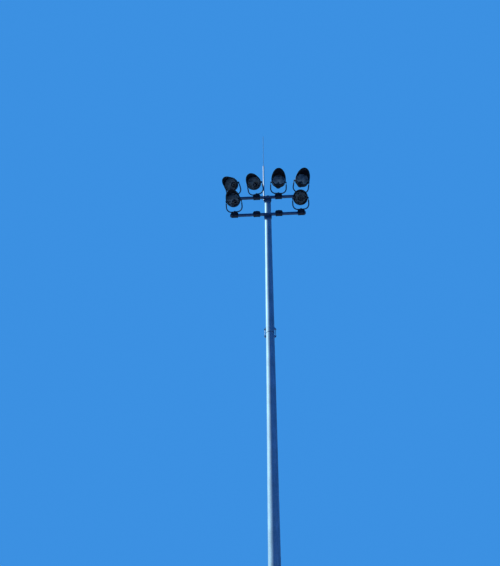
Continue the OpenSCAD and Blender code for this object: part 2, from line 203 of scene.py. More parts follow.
class TowerLight(PropertyGroup):
    """Where the key lamp stands, and how strong the lamps are."""

    strength: FloatProperty(name="Key", description="Strength of the key lamp", default=4.5)
    softness: FloatProperty(name="Softness", description="Angle that the key lamp fills", subtype="ANGLE",
                            default=math.radians(6))
    height: FloatProperty(name="Height", description="Key lamp above level", subtype="ANGLE",
                          default=math.radians(36))
    side: FloatProperty(name="Side", description="Key lamp to the left of the camera", subtype="ANGLE",
                        default=math.radians(95))
    open_shade: colour("Open shade", "Light of the backdrop on the object", (0.0, 0.032, 0.21))


class TowerCamera(PropertyGroup):
    """Where the picture is taken from."""

    spot: FloatVectorProperty(name="Spot", description="Place of the camera", subtype="TRANSLATION",
                              unit="LENGTH", size=3, default=(0.63, -21.526, 1.613))
    heading: FloatProperty(name="Heading", description="Turn to the left of +Y", subtype="ANGLE",
                           default=math.radians(3.63))
    pitch: FloatProperty(name="Pitch", description="Look above level", subtype="ANGLE",
                         default=math.radians(35.35))
    roll: FloatProperty(name="Roll", description="Turn about the line of sight", subtype="ANGLE",
                        default=math.radians(0.06))
    lens: FloatProperty(name="Lens", description="Focal length on a 36 mm sensor", default=44.17)


# Node trees

def add(tree, kind, feeds=None, **settings):
    """Adds a node, sets its options and feeds its inputs with sockets or plain values."""
    node = tree.nodes.new(kind)
    for key, value in settings.items():
        setattr(node, key, value)
    for key, value in (feeds or {}).items():
        if isinstance(value, NodeSocket):
            tree.links.new(value, node.inputs[key])
        else:
            node.inputs[key].default_value = value
    return node


def new_shape_tree(name, sizes):
    """A geometry tree with its named inputs, and its first node."""
    tree = bpy.data.node_groups.new(name, "GeometryNodeTree")
    for label, kind in (("Geometry", "Geometry"), *sizes, ("Finish", "Material")):
        tree.interface.new_socket(label, in_out="INPUT", socket_type=f"NodeSocket{kind}")
    tree.interface.new_socket("Geometry", in_out="OUTPUT", socket_type="NodeSocketGeometry")
    return tree, tree.nodes.new("NodeGroupInput").outputs


def end_shape_tree(tree, sizes, geometry):
    """Makes copies real, gives them their finish and ends the tree."""
    real = add(tree, "GeometryNodeRealizeInstances", {0: geometry})
    done = add(tree, "GeometryNodeSetMaterial", {"Geometry": real.outputs[0], "Material": sizes["Finish"]})
    add(tree, "NodeGroupOutput", {0: done.outputs[0]})
    return tree


def ring_tree():
    """Copies a piece round +Z at even steps."""
    inputs = (("Piece", "Object"), ("Count", "Int"), ("Radius", "Float"), ("First angle", "Float"),
              ("Step", "Float"))
    tree, sizes = new_shape_tree("Copies in a ring", inputs)
    index = add(tree, "GeometryNodeInputIndex")
    angle = add(tree, "ShaderNodeMath", {0: index.outputs[0], 1: sizes["Step"], 2: sizes["First angle"]},
                operation="MULTIPLY_ADD")
    euler = add(tree, "ShaderNodeCombineXYZ", {"Z": angle.outputs[0]})
    turn = add(tree, "FunctionNodeEulerToRotation", {0: euler.outputs[0]})
    outwards = add(tree, "ShaderNodeCombineXYZ", {"X": sizes["Radius"]})
    spot = add(tree, "FunctionNodeRotateVector", {"Vector": outwards.outputs[0], "Rotation": turn.outputs[0]})
    points = add(tree, "GeometryNodePoints", {"Count": sizes["Count"], "Position": spot.outputs[0]})
    piece = add(tree, "GeometryNodeObjectInfo", {"Object": sizes["Piece"]})
    copies = add(tree, "GeometryNodeInstanceOnPoints",
                 {"Points": points.outputs[0], "Rotation": turn.outputs[0],
                  "Instance": piece.outputs["Geometry"]})
    return end_shape_tree(tree, sizes, copies.outputs[0])


def spots_tree():
    """Puts a copy of a piece on each vertex, with +Z along the vertex's facing."""
    tree, sizes = new_shape_tree("Copies on spots", (("Piece", "Object"), ("Size", "Float")))
    facing = add(tree, "GeometryNodeInputNamedAttribute", {"Name": "facing"}, data_type="FLOAT_VECTOR")
    turn = add(tree, "FunctionNodeAlignRotationToVector", {"Vector": facing.outputs[0]}, axis="Z")
    piece = add(tree, "GeometryNodeObjectInfo", {"Object": sizes["Piece"]})
    size = add(tree, "ShaderNodeCombineXYZ", {axis: sizes["Size"] for axis in "XYZ"})
    copies = add(tree, "GeometryNodeInstanceOnPoints",
                 {"Points": sizes["Geometry"], "Rotation": turn.outputs[0],
                  "Instance": piece.outputs["Geometry"], "Scale": size.outputs[0]})
    return end_shape_tree(tree, sizes, copies.outputs[0])


def bead_tree():
    """Runs a round bead along the edges of a mesh, with the even ripple of a weld."""
    inputs = (("Width", "Float"), ("Ripple", "Float"), ("Step", "Float"))
    tree, sizes = new_shape_tree("Bead along a path", inputs)
    path = add(tree, "GeometryNodeMeshToCurve", {"Mesh": sizes["Geometry"]})
    even = add(tree, "GeometryNodeResampleCurve", {"Curve": path.outputs[0], "Length": sizes["Step"]},
               mode="LENGTH")
    index = add(tree, "GeometryNodeInputIndex")
    phase = add(tree, "ShaderNodeMath", {0: index.outputs[0], 1: RIPPLE_TURN}, operation="MULTIPLY")
    wave = add(tree, "ShaderNodeMath", {0: phase.outputs[0]}, operation="SINE")
    swell = add(tree, "ShaderNodeMath", {0: wave.outputs[0], 1: sizes["Ripple"], 2: 1.0},
                operation="MULTIPLY_ADD")
    half = add(tree, "ShaderNodeMath", {0: sizes["Width"], 1: 0.5}, operation="MULTIPLY")
    radius = add(tree, "ShaderNodeMath", {0: swell.outputs[0], 1: half.outputs[0]}, operation="MULTIPLY")
    round_bar = add(tree, "GeometryNodeCurvePrimitiveCircle", {"Resolution": 8, "Radius": 1.0})
    bead = add(tree, "GeometryNodeCurveToMesh",
               {"Curve": even.outputs[0], "Profile Curve": round_bar.outputs[0],
                "Fill Caps": True, "Scale": radius.outputs[0]})
    return end_shape_tree(tree, sizes, bead.outputs[0])


# Shapes

def lathe(shape, outline, steps, place=Matrix(), smooth=True):
    """Turns an outline of (radius, height) pairs round +Z, closed unless both its ends lie on the axis."""
    on_axis = outline[0][0] == 0 and outline[-1][0] == 0
    angles = [2 * math.pi * i / steps for i in range(steps)]
    rings = [[shape.verts.new(place @ Vector((r * math.cos(a), r * math.sin(a), z))) for r, z in outline]
             for a in angles]
    for i, ring in enumerate(rings):
        after = rings[(i + 1) % steps]
        for j in range(len(outline) - (1 if on_axis else 0)):
            k = (j + 1) % len(outline)
            shape.faces.new((ring[j], after[j], after[k], ring[k])).smooth = smooth


def slab(shape, outline, low, high, place=Matrix()):
    """Pushes an outline of (x, y) pairs up from one height to another."""
    base = [shape.verts.new(place @ Vector((x, y, low))) for x, y in outline]
    top = [shape.verts.new(place @ Vector((x, y, high))) for x, y in outline]
    shape.faces.new(base[::-1])
    shape.faces.new(top)
    for i in range(len(outline)):
        j = (i + 1) % len(outline)
        shape.faces.new((base[i], base[j], top[j], top[i]))


def bar(shape, low, high, place=Matrix()):
    """A square-cornered bar between two corners."""
    corners = [(low[0], low[1]), (high[0], low[1]), (high[0], high[1]), (low[0], high[1])]
    slab(shape, corners, low[2], high[2], place)


def mesh_of(shape, name, sharp=35):
    """Closes a shape's seams, turns its faces outwards and makes it a mesh."""
    bmesh.ops.remove_doubles(shape, verts=shape.verts, dist=1e-6)
    bmesh.ops.recalc_face_normals(shape, faces=shape.faces)
    mesh = bpy.data.meshes.new(name)
    shape.to_mesh(mesh)
    shape.free()
    mesh.set_sharp_from_angle(angle=math.radians(sharp))
    return mesh


def keep(name, mesh, finish, body, bevel=0.0):
    """Makes a mesh a piece of the tower that rides on a body."""
    piece = bpy.data.objects.new(name, mesh)
    bpy.context.collection.objects.link(piece)
    if not mesh.materials:
        mesh.materials.append(FINISHES[finish])
    if bevel:
        edge = piece.modifiers.new("Eased edges", "BEVEL")
        edge.width = bevel
        edge.segments = 2
        edge.limit_method = "ANGLE"
    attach(piece, body)


def grow(name, tree, finish, body, place=Matrix(), seed=None, piece=None, sizes=None):
    """Runs a tree once and keeps its result as a plain mesh, moved to its place."""
    thing = bpy.data.objects.new(name, seed or bpy.data.meshes.new(name))
    bpy.context.collection.objects.link(thing)
    pattern = None
    values = {"Finish": FINISHES[finish], **(sizes or {})}
    if piece:
        pattern = bpy.data.objects.new("pattern", piece)
        bpy.context.collection.objects.link(pattern)
        values["Piece"] = pattern
    modifier = thing.modifiers.new(tree.name, "NODES")
    modifier.node_group = tree
    for socket in tree.interface.items_tree:
        if socket.in_out == "INPUT" and socket.name in values:
            modifier[socket.identifier] = values[socket.name]
    mesh = bpy.data.meshes.new_from_object(thing.evaluated_get(bpy.context.evaluated_depsgraph_get()))
    mesh.transform(place)
    bpy.data.objects.remove(thing)
    if pattern:
        bpy.data.objects.remove(pattern)
    keep(name, mesh, finish, body)


def in_ring(count, radius=0.0, first=0.0, step=None):
    """Sizes for copies in a ring, spaced evenly all round it unless a step is given."""
    return {"Count": count, "Radius": radius, "First angle": first,
            "Step": 2 * math.pi / count if step is None else step}


def fasten(name, piece, pairs):
    """Puts copies of a bolt or a screw on spots of the mast."""
    grow(name, TREES["spots"], "zinc_bolt", "mast", piece=piece, seed=spots(pairs),
         sizes={"Size": 1.0})


def paths(loops):
    """A mesh of edges along loops of points, each given with whether it closes on itself."""
    points, edges = [], []
    for loop, closed in loops:
        start = len(points)
        points.extend(loop)
        edges.extend((start + i, start + i + 1) for i in range(len(loop) - 1))
        if closed:
            edges.append((start + len(loop) - 1, start))
    mesh = bpy.data.meshes.new("path")
    mesh.from_pydata([tuple(point) for point in points], edges, [])
    return mesh


def spots(pairs):
    """A mesh of loose vertices, each with the way that the piece on it faces."""
    mesh = bpy.data.meshes.new("spots")
    mesh.from_pydata([tuple(point) for point, _ in pairs], [], [])
    facing = mesh.attributes.new("facing", "FLOAT_VECTOR", "POINT")
    for i, (_, way) in enumerate(pairs):
        facing.data[i].vector = way
    return mesh


def arc(radius, z, first, last, steps):
    """Points on a level arc, between two angles in degrees."""
    angles = [math.radians(first + (last - first) * i / steps) for i in range(steps + 1)]
    return [Vector((radius * math.cos(a), radius * math.sin(a), z)) for a in angles]


def hex_head(radius, height, washer):
    """A hexagon head with eased corners on a round washer."""
    shape = bmesh.new()
    lathe(shape, [(0, 0), (washer, 0), (washer, 0.25 * height), (0, 0.25 * height)], 16)
    lathe(shape, [(0, 0.25 * height), (radius, 0.25 * height), (radius, 1.1 * height),
                  (0.84 * radius, 1.25 * height), (0, 1.25 * height)], 6, smooth=False)
    return mesh_of(shape, "hex_head")


def round_head(radius, height):
    """A low dome with a small hexagon socket in it."""
    shape = bmesh.new()
    lathe(shape, [(0, 0), (radius, 0), (radius, 0.3 * height), (0.8 * radius, 0.8 * height),
                  (0.45 * radius, height), (0.4 * radius, 0.45 * height), (0, 0.45 * height)], 12)
    return mesh_of(shape, "round_head")


# Materials

def new_material(name):
    """An empty node material: its tree, its shader and its Object coordinates."""
    material = bpy.data.materials.new(name)
    material.use_nodes = True
    tree = material.node_tree
    place = add(tree, "ShaderNodeTexCoord").outputs["Object"]
    return material, tree, tree.nodes["Principled BSDF"], place


def spread(tree, value, low, high, out_low, out_high):
    """Stretches one range of a value to another and returns its socket."""
    node = add(tree, "ShaderNodeMapRange", {"Value": value, "From Min": low, "From Max": high,
                                            "To Min": out_low, "To Max": out_high})
    return node.outputs["Result"]


def shade_with(tree, shader, tint, amount):
    """Makes a finish lighter and darker than its colour by an amount."""
    tinted = add(tree, "ShaderNodeVectorMath", {0: tint, "Scale": amount}, operation="SCALE")
    tree.links.new(tinted.outputs[0], shader.inputs["Base Color"])


def raise_with(tree, shader, height, strength, distance):
    """Gives a finish a fine relief."""
    bump = add(tree, "ShaderNodeBump", {"Height": height, "Strength": strength, "Distance": distance})
    tree.links.new(bump.outputs[0], shader.inputs["Normal"])


def galvanised(name, tint, roughness, metallic, spangle=45.0):
    """Zinc with crystals, dull streaks down the length and a fine grain."""
    material, tree, shader, place = new_material(name)
    crystals = add(tree, "ShaderNodeTexVoronoi", {"Vector": place, "Scale": spangle})
    long_way = add(tree, "ShaderNodeMapping", {"Vector": place, "Scale": (9.0, 9.0, 0.7)})
    streaks = add(tree, "ShaderNodeTexNoise", {"Vector": long_way.outputs[0], "Scale": 1.0, "Detail": 5.0})
    clouds = add(tree, "ShaderNodeTexNoise", {"Vector": place, "Scale": 2.3, "Detail": 4.0})
    grain = add(tree, "ShaderNodeTexNoise", {"Vector": place, "Scale": 380.0, "Detail": 2.0})
    shades = spread(tree, crystals.outputs["Color"], 0.0, 1.0, 0.86, 1.12)
    weather = spread(tree, streaks.outputs["Fac"], 0.3, 0.7, 0.82, 1.16)
    patches = spread(tree, clouds.outputs["Fac"], 0.35, 0.65, 0.90, 1.08)
    both = add(tree, "ShaderNodeMath", {0: shades, 1: weather}, operation="MULTIPLY")
    all_three = add(tree, "ShaderNodeMath", {0: both.outputs[0], 1: patches}, operation="MULTIPLY")
    shade_with(tree, shader, tint, all_three.outputs[0])
    rough = spread(tree, streaks.outputs["Fac"], 0.3, 0.7, roughness - 0.05, roughness + 0.08)
    tree.links.new(rough, shader.inputs["Roughness"])
    raise_with(tree, shader, grain.outputs["Fac"], 0.12, 0.001)
    shader.inputs["Metallic"].default_value = metallic
    shader.inputs["Specular IOR Level"].default_value = 0.3
    return material


def painted(name, tint, roughness, dust=0.5, peel_size=220.0, peel=0.15):
    """Dark paint with an orange-peel bump and pale dust in patches."""
    material, tree, shader, place = new_material(name)
    skin = add(tree, "ShaderNodeTexNoise", {"Vector": place, "Scale": peel_size, "Detail": 3.0})
    patches = add(tree, "ShaderNodeTexNoise", {"Vector": place, "Scale": 7.0, "Detail": 6.0})
    amount = spread(tree, patches.outputs["Fac"], 0.45, 0.75, 0.0, dust)
    pale = [3.0 * value + add_on for value, add_on in zip(tint, (0.008, 0.009, 0.010))]
    mix = add(tree, "ShaderNodeMix", {"Factor": amount}, data_type="RGBA")
    mix.inputs["A"].default_value = (*tint, 1.0)
    mix.inputs["B"].default_value = (*pale, 1.0)
    tree.links.new(mix.outputs["Result"], shader.inputs["Base Color"])
    rough = spread(tree, patches.outputs["Fac"], 0.3, 0.7, roughness, roughness + 0.2)
    tree.links.new(rough, shader.inputs["Roughness"])
    raise_with(tree, shader, skin.outputs["Fac"], peel, 0.0005)
    shader.inputs["Specular IOR Level"].default_value = 0.25
    return material


def petal_metal(name, tint):
    """Anodised sheet with the small dimples of a hammered reflector."""
    material, tree, shader, place = new_material(name)
    dimples = add(tree, "ShaderNodeTexVoronoi", {"Vector": place, "Scale": 110.0}, feature="SMOOTH_F1")
    clouds = add(tree, "ShaderNodeTexNoise", {"Vector": place, "Scale": 9.0, "Detail": 4.0})
    shade = spread(tree, clouds.outputs["Fac"], 0.3, 0.7, 0.8, 1.2)
    shade_with(tree, shader, tint, shade)
    rough = spread(tree, clouds.outputs["Fac"], 0.3, 0.7, 0.34, 0.46)
    tree.links.new(rough, shader.inputs["Roughness"])
    raise_with(tree, shader, dimples.outputs["Distance"], 0.10, 0.001)
    shader.inputs["Metallic"].default_value = 1.0
    return material


def glass(name, tint, alpha, roughness):
    """Glass with a film of dust, seen mostly by its reflections."""
    material, tree, shader, place = new_material(name)
    film = add(tree, "ShaderNodeTexNoise", {"Vector": place, "Scale": 14.0, "Detail": 5.0})
    rough = spread(tree, film.outputs["Fac"], 0.35, 0.7, roughness, roughness + 0.12)
    tree.links.new(rough, shader.inputs["Roughness"])
    shade = spread(tree, film.outputs["Fac"], 0.35, 0.7, 0.85, 1.15)
    shade_with(tree, shader, tint, shade)
    shader.inputs["Alpha"].default_value = alpha
    return material


FINISHES = {}


def make_finishes(colours):
    """Makes every material once and keeps it by its name."""
    # zinc holds the mast colour with its painted blue sky reflection; it colours the mast and, a little darker,
    # its welds.
    zinc, hardware = colours.galvanised, colours.hardware
    FINISHES["galvanised_steel"] = galvanised("Galvanised steel", zinc, 0.62, 0.22)
    # The crossarm colour, weathered zinc darkened with painted shade, also goes to the lightning rod and the
    # crossarm welds.
    FINISHES["crossarm_steel"] = galvanised("Crossarm steel", colours.crossarm, 0.52, 0.25)
    FINISHES["cast_block"] = painted("Cast block paint", colours.casting, 0.55, 0.4, 90.0, 0.5)
    FINISHES["yoke_steel"] = painted("Yoke paint", colours.yoke, 0.34, 0.3)
    FINISHES["floodlight_paint"] = painted("Floodlight paint", colours.paint, 0.48)
    FINISHES["zinc_bolt"] = galvanised("Zinc hardware", hardware, 0.38, 0.5, 160.0)
    FINISHES["bright_aluminium"] = galvanised("Bright tube", colours.bright, 0.50, 0.15, 20.0)
    FINISHES["lightning_rod_steel"] = galvanised("Rod steel", colours.crossarm, 0.45, 0.3)
    FINISHES["lens_glass"] = glass("Lens glass", (0.02, 0.03, 0.035), 0.18, 0.03)
    FINISHES["lamp_envelope"] = glass("Lamp envelope", (0.34, 0.36, 0.36), 0.75, 0.15)
    FINISHES["petals"] = petal_metal("Reflector petals", colours.reflector)
    FINISHES["throat"] = galvanised("Throat plate", (0.06, 0.08, 0.10), 0.5, 0.2, 90.0)
    FINISHES["weld"] = galvanised("Zinc weld", tuple(0.92 * value for value in zinc), 0.50, 0.3, 220.0)
    FINISHES["arm_weld"] = galvanised("Crossarm weld", colours.crossarm, 0.5, 0.3, 220.0)
    FINISHES["gasket"] = painted("Lens gasket", (0.010, 0.010, 0.010), 0.7, 0.2, 400.0, 0.1)


def finish_cad_nodes():
    """Gives each CAD node the material of its slot in the record."""
    for part in frame["record"]["subparts"]:
        mesh = frame["nodes"][part["node"]].data
        mesh.materials.clear()
        mesh.materials.append(FINISHES[part["material_slot"]])


TREES = {}


class TOWER_OT_finish(Operator):
    """Makes the finishes and trees, and puts the finishes on the construction model"""

    bl_idname = "tower.finish"
    bl_label = "Finishes"

    def execute(self, context):
        make_finishes(context.scene.tower_colours)
        finish_cad_nodes()
        TREES.update(ring=ring_tree(), spots=spots_tree(), bead=bead_tree())
        return {"FINISHED"}


# Floodlights

def petal(count, crown):
    """One petal of a reflector: two flats that meet in a ridge, stepped along the bowl's depth."""
    half = math.pi / count
    depths = [PETAL_FRONT + PETAL_DEPTH * i / 7 for i in range(8)]
    shape = bmesh.new()
    rows = []
    for depth in depths:
        wall = bowl_radius(depth) - 0.0012
        row = []
        for angle, rise in ((-half, 0.0), (0.0, crown * (0.4 + 0.6 * wall / BOWL_MOUTH)), (half, 0.0)):
            radius = wall - 0.0015 - rise
            row.append(shape.verts.new((radius * math.cos(angle), radius * math.sin(angle), LENS_AT - depth)))
        for angle in (half, 0.0, -half):
            row.append(shape.verts.new((wall * math.cos(angle), wall * math.sin(angle), LENS_AT - depth)))
        rows.append(row)
    for low, high in zip(rows, rows[1:]):
        for j in range(6):
            shape.faces.new((low[j], low[(j + 1) % 6], high[(j + 1) % 6], high[j]))
    for row in (rows[0], rows[-1]):
        shape.faces.new((row[0], row[1], row[4], row[5]))
        shape.faces.new((row[1], row[2], row[3], row[4]))
    return mesh_of(shape, "petal", 2)


class TOWER_OT_reflectors(Operator):
    """Lines each bowl with petals and closes its throat with a dark plate"""

    bl_idname = "tower.reflectors"
    bl_label = "Reflectors"

    def execute(self, context):
        heads = context.scene.tower_heads
        for n in LAMPS:
            place, body = head_place(n), f"floodlight_{n}"
            grow(f"reflector_petals_{n}", TREES["ring"], "petals", body, place,
                 piece=petal(heads.petals, heads.crown),
                 sizes=in_ring(heads.petals))
            shape = bmesh.new()
            lathe(shape, [(0.046, -0.1798), (0.1165, -0.1798), (0.1165, -0.1782), (0.080, -0.1762),
                          (0.056, -0.1752), (0.050, -0.1722), (0.046, -0.1722)], 64, place)
            keep(f"throat_plate_{n}", mesh_of(shape, "throat_plate"), "throat", body)
        return {"FINISHED"}


def latch():
    """A toggle latch, with +X outwards from the ring and +Z along the aim."""
    shape = bmesh.new()
    bar(shape, (0.2735, -0.014, 0.070), (0.2790, 0.014, 0.116))
    bar(shape, (0.2780, -0.010, 0.074), (0.2960, -0.006, 0.104))
    bar(shape, (0.2780, 0.006, 0.074), (0.2960, 0.010, 0.104))
    across = Matrix.Translation((0.2900, 0, 0.088)) @ Matrix.Rotation(math.pi / 2, 4, "X")
    lathe(shape, [(0, -0.013), (0.0035, -0.013), (0.0035, 0.013), (0, 0.013)], 10, across)
    upright = Matrix.Rotation(math.pi / 2, 4, "X")
    lever = [(0.2880, 0.080), (0.2940, 0.078), (0.3045, 0.116), (0.3058, 0.142), (0.3030, 0.150),
             (0.3005, 0.149), (0.3022, 0.140), (0.3010, 0.118)]
    slab(shape, lever, -0.0055, 0.0055, upright)
    bar(shape, (0.2995, -0.012, 0.132), (0.3020, 0.012, 0.156))
    return mesh_of(shape, "latch")


class TOWER_OT_rings(Operator):
    """Adds the lens gaskets and the toggle latches round the front rings"""

    bl_idname = "tower.rings"
    bl_label = "Rings"

    def execute(self, context):
        count = context.scene.tower_heads.latches
        for n in LAMPS:
            place, body = head_place(n), f"floodlight_{n}"
            shape = bmesh.new()
            lathe(shape, [(0.2610, 0.1562), (0.2665, 0.1560), (0.2665, 0.1628), (0.2630, 0.1628),
                          (0.2612, 0.1600)], 96, place)
            keep(f"lens_gasket_{n}", mesh_of(shape, "gasket"), "gasket", body)
            grow(f"ring_latches_{n}", TREES["ring"], "zinc_bolt", body, place, piece=latch(),
                 sizes=in_ring(count, first=math.pi / count))
        return {"FINISHED"}


def visor_edge():
    """The free edge of a visor, where a sloping plane cuts its tube."""
    radius = RING_RADIUS - 0.0015
    widest = math.acos(0.0265 / radius)
    points = []
    for i in range(97):
        angle = widest * (i / 48 - 1)
        up = radius * math.cos(angle)
        forward = RING_FRONT + VISOR_REACH * (up - VISOR_CUT) / VISOR_RISE
        points.append(Vector((radius * math.sin(angle), up, forward)))
    return points


class TOWER_OT_visors(Operator):
    """Rolls the visors' free edges and rivets the visors to their rings"""

    bl_idname = "tower.visors"
    bl_label = "Visors"

    def execute(self, context):
        heads = context.scene.tower_heads
        for n in LAMPS:
            place, body = head_place(n), f"floodlight_{n}"
            grow(f"visor_bead_{n}", TREES["bead"], "floodlight_paint", body, place,
                 seed=paths([(visor_edge(), False)]),
                 sizes={"Width": heads.bead, "Ripple": 0.0, "Step": 0.012})
            shape = bmesh.new()
            outwards = Matrix.Translation((0, 0, RING_FRONT + 0.010)) @ Matrix.Rotation(math.pi / 2, 4, "Y")
            lathe(shape, [(0, -0.001), (0.0060, -0.001), (0.0055, 0.0012), (0.0035, 0.0030), (0, 0.0036)],
                  10, outwards)
            sweep = math.radians(150)
            grow(f"visor_rivets_{n}", TREES["ring"], "zinc_bolt", body, place,
                 piece=mesh_of(shape, "rivet"),
                 sizes=in_ring(heads.rivets, RING_RADIUS, (math.pi - sweep) / 2, sweep / (heads.rivets - 1)))
        return {"FINISHED"}


class TOWER_OT_housings(Operator):
    """Adds a rear cover, its screws and a blanking plug to each lamp housing"""

    bl_idname = "tower.housings"
    bl_label = "Housings"

    def execute(self, context):
        for n in LAMPS:
            place, body = head_place(n), f"floodlight_{n}"
            shape = bmesh.new()
            back = place @ Matrix.Translation((0, 0, HOUSING_BACK)) @ Matrix.Rotation(math.pi, 4, "X")
            lathe(shape, [(0, -0.001), (0.066, -0.001), (0.067, 0.0015), (0.0655, 0.0040), (0.044, 0.0046),
                          (0.040, 0.0085), (0.022, 0.0100), (0, 0.0104)], 48, back)
            down = place @ Matrix.Translation((0, -0.090, -0.245)) @ Matrix.Rotation(math.pi / 2, 4, "X")
            lathe(shape, [(0, -0.004), (0.017, -0.004), (0.017, 0.006), (0.0145, 0.008), (0, 0.008)],
                  20, down)
            lathe(shape, [(0, 0.008), (0.0125, 0.008), (0.0125, 0.017), (0.0105, 0.019), (0, 0.019)],
                  6, down, False)
            keep(f"housing_cover_{n}", mesh_of(shape, "cover"), "floodlight_paint", body)
            screw = round_head(0.0055, 0.0045)
            screw.transform(Matrix.Translation((0, 0, 0.0030)))
            grow(f"cover_screws_{n}", TREES["ring"], "zinc_bolt", body, back, piece=screw,
                 sizes=in_ring(6, 0.055, math.pi / 6))
        return {"FINISHED"}


# Yokes

def leg_welds(leg_length):
    """Weld lines where the ears' plates leave the pipe's legs."""
    lines = []
    across = math.sqrt(PIPE_RADIUS ** 2 - EAR_HALF ** 2)
    for side in (-1, 1):
        for face in (-1, 1):
            for edge in (-1, 1):
                x, y = side * LEG + face * (EAR_HALF + 0.0002), edge * across
                lines.append(([Vector((x, y, leg_length - down)) for down in (0.139, 0.099)], False))
    return lines


def foot_welds():
    """Weld lines round the pipe where it leaves the foot, and round the foot's block on its disc."""
    lines = []
    turns = [2 * math.pi * i / 32 for i in range(32)]
    for side in (-1, 1):
        lines.append(([Vector((side * 0.0345, PIPE_RADIUS * math.cos(a),
                               SEAT_TO_PIPE + PIPE_RADIUS * math.sin(a))) for a in turns], True))
    lines.append(([Vector((x, y, 0.0146)) for x, y in ((-0.034, -0.0415), (0.034, -0.0415), (0.034, 0.0415),
                                                        (-0.034, 0.0415))], True))
    return lines


def scale_marks(near, far, low, high):
    """Raised marks for the two aiming scales of a floodlight, one on each side of it."""
    shape = bmesh.new()
    bar(shape, (near, -0.0006, low), (far, 0.0006, high))
    bar(shape, (near, -0.0006, -high), (far, 0.0006, -low))
    return mesh_of(shape, "mark")


class TOWER_OT_yokes(Operator):
    """Adds the yokes' welds, the plugs in their pipes and their pan scales"""

    bl_idname = "tower.yokes"
    bl_label = "Yokes"

    def execute(self, context):
        width = context.scene.tower_steel.fine_weld
        inner = PIPE_RADIUS - PIPE_WALL - 0.0002
        plug = [(0, -0.012), (inner, -0.012), (inner, -0.0002), (PIPE_RADIUS, -0.0002), (PIPE_RADIUS, 0.0018),
                (PIPE_RADIUS - 0.002, 0.0042), (0.5 * PIPE_RADIUS, 0.0066), (0, 0.0074)]
        for n in LAMPS:
            seat, body = seat_place(n), f"yoke_{n}"
            pipe, leg_length = pipe_place(n), leg_of(n)[1]
            into_seat = seat.inverted() @ pipe
            lines = foot_welds() + [([into_seat @ point for point in line], closed)
                                    for line, closed in leg_welds(leg_length)]
            grow(f"yoke_welds_{n}", TREES["bead"], "yoke_steel", body, seat, seed=paths(lines),
                 sizes={"Width": width, "Ripple": 0.18, "Step": 0.0015})
            shape = bmesh.new()
            for side in (-1, 1):
                lathe(shape, plug, 32, pipe @ Matrix.Translation((side * LEG, 0, leg_length - 0.100)))
            keep(f"pipe_plugs_{n}", mesh_of(shape, "plugs"), "gasket", body)
            marks = bmesh.new()
            for turn in (0, math.pi):
                for step in range(-6, 7):
                    reach = 0.0700 if step % 3 else 0.0684
                    bar(marks, (reach, -0.0005, 0.0140), (0.0742, 0.0005, 0.0147),
                        seat @ Matrix.Rotation(turn + math.radians(4 * step), 4, "Z"))
            keep(f"pan_scale_{n}", mesh_of(marks, "marks"), "zinc_bolt", body)
        return {"FINISHED"}


class TOWER_OT_aiming(Operator):
    """Adds the tilt scales on the floodlights' quadrants"""

    bl_idname = "tower.aiming"
    bl_label = "Tilt scales"

    def execute(self, context):
        for n in LAMPS:
            first = -math.pi / 2 + leg_of(n)[0] - math.radians(65)
            grow(f"tilt_scale_{n}", TREES["ring"], "zinc_bolt", f"floodlight_{n}",
                 head_place(n) @ Matrix.Rotation(math.pi / 2, 4, "Y"),
                 piece=scale_marks(0.0695, 0.0755, QUADRANT_FACE - 0.0005, QUADRANT_FACE + 0.0004),
                 sizes=in_ring(16, first=first, step=math.radians(5)))
        return {"FINISHED"}


# Mast

def round_the_mast(radius, z, first=0, last=360, steps=96):
    """A loop or an arc round the mast."""
    closed = last - first == 360
    points = arc(radius, z, first, last, steps)
    return (points[:-1] if closed else points, closed)


def handhole_loop():
    """The line where the handhole's frame meets the mast."""
    half, straight = 0.0725, 0.090
    points = []
    for i in range(64):
        a = 2 * math.pi * i / 64
        x, z = half * math.cos(a), half * math.sin(a) + (straight if math.sin(a) >= 0 else -straight)
        radius = lower_radius(HANDHOLE_AT + z)
        points.append(Vector((x, -math.sqrt(radius ** 2 - x ** 2), HANDHOLE_AT + z)))
    return (points, True)


def mast_welds():
    """Weld lines at the flange, the handhole, the brackets and the lugs."""
    lines = [round_the_mast(lower_radius(0.05) + 0.002, 0.052), handhole_loop()]
    for height in ARM_HEIGHTS:
        for level in (height - 0.14, height + 0.04):
            for side in (-0.006, 0.006):
                lines.append(round_the_mast(upper_radius(level) + 0.001, level + side, -157, -23, 40))
    for turn in (0, 180):
        for level, radius in ((SPLICE - 0.120, lower_radius), (SPLICE + 0.172, upper_radius)):
            for face in (level, level - 0.022):
                lines.append(round_the_mast(radius(level) + 0.001, face, turn - 15, turn + 15, 10))
    return lines


